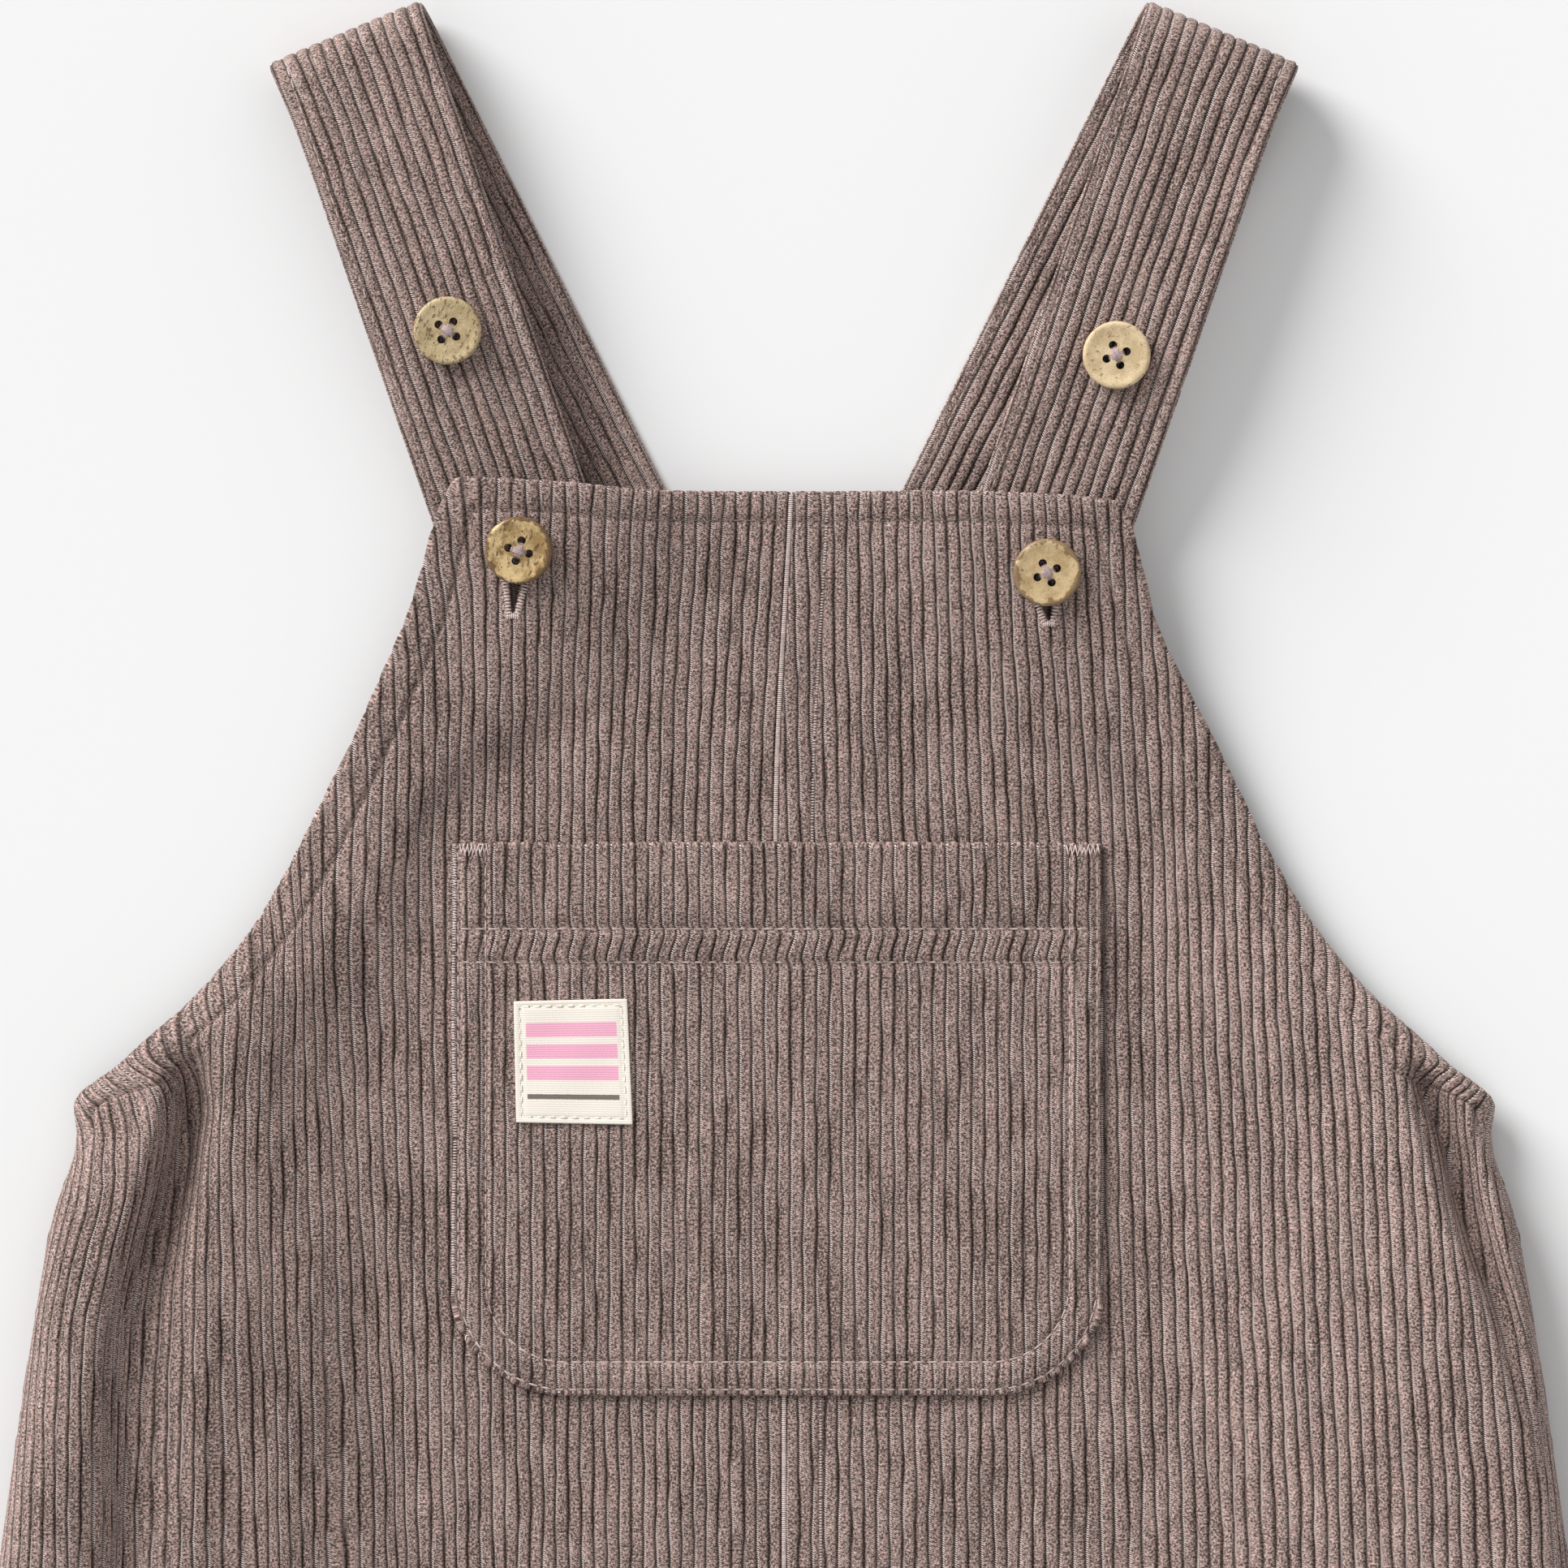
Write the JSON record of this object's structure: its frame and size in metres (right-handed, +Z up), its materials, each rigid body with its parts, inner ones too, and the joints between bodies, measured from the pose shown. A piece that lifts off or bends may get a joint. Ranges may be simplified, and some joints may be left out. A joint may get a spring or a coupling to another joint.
{
  "type": "pinafore dress",
  "caption": "Child's corduroy bib pinafore dress laid on its back, straps folded over and buttoned through the bib, round-cornered patch pocket with a small label patch.",
  "frame": {"origin": "on the surface that the dress lies on, below the middle of its outline", "axes": "+Z up from the surface, through the back and out of the front; +Y from the hem towards the straps; +X to the picture's right, which is the wearer's left"},
  "size_m": [0.4212, 0.5612, 0.0208],
  "materials": {
    "corduroy": "matte corduroy with upright wales, soft sheen",
    "label_cotton": "matte ribbed cotton",
    "coconut_shell": "satin, speckled"
  },
  "bodies": {
    "root": {"front_panel_left": "corduroy", "front_panel_right": "corduroy", "back_panel": "corduroy", "strap_left": "corduroy", "strap_right": "corduroy", "pocket": "corduroy", "label_patch": "label_cotton", "button_strap_left": "coconut_shell", "button_strap_right": "coconut_shell", "button_bib_left": "coconut_shell", "button_bib_right": "coconut_shell"}
  },
  "joints": []
}
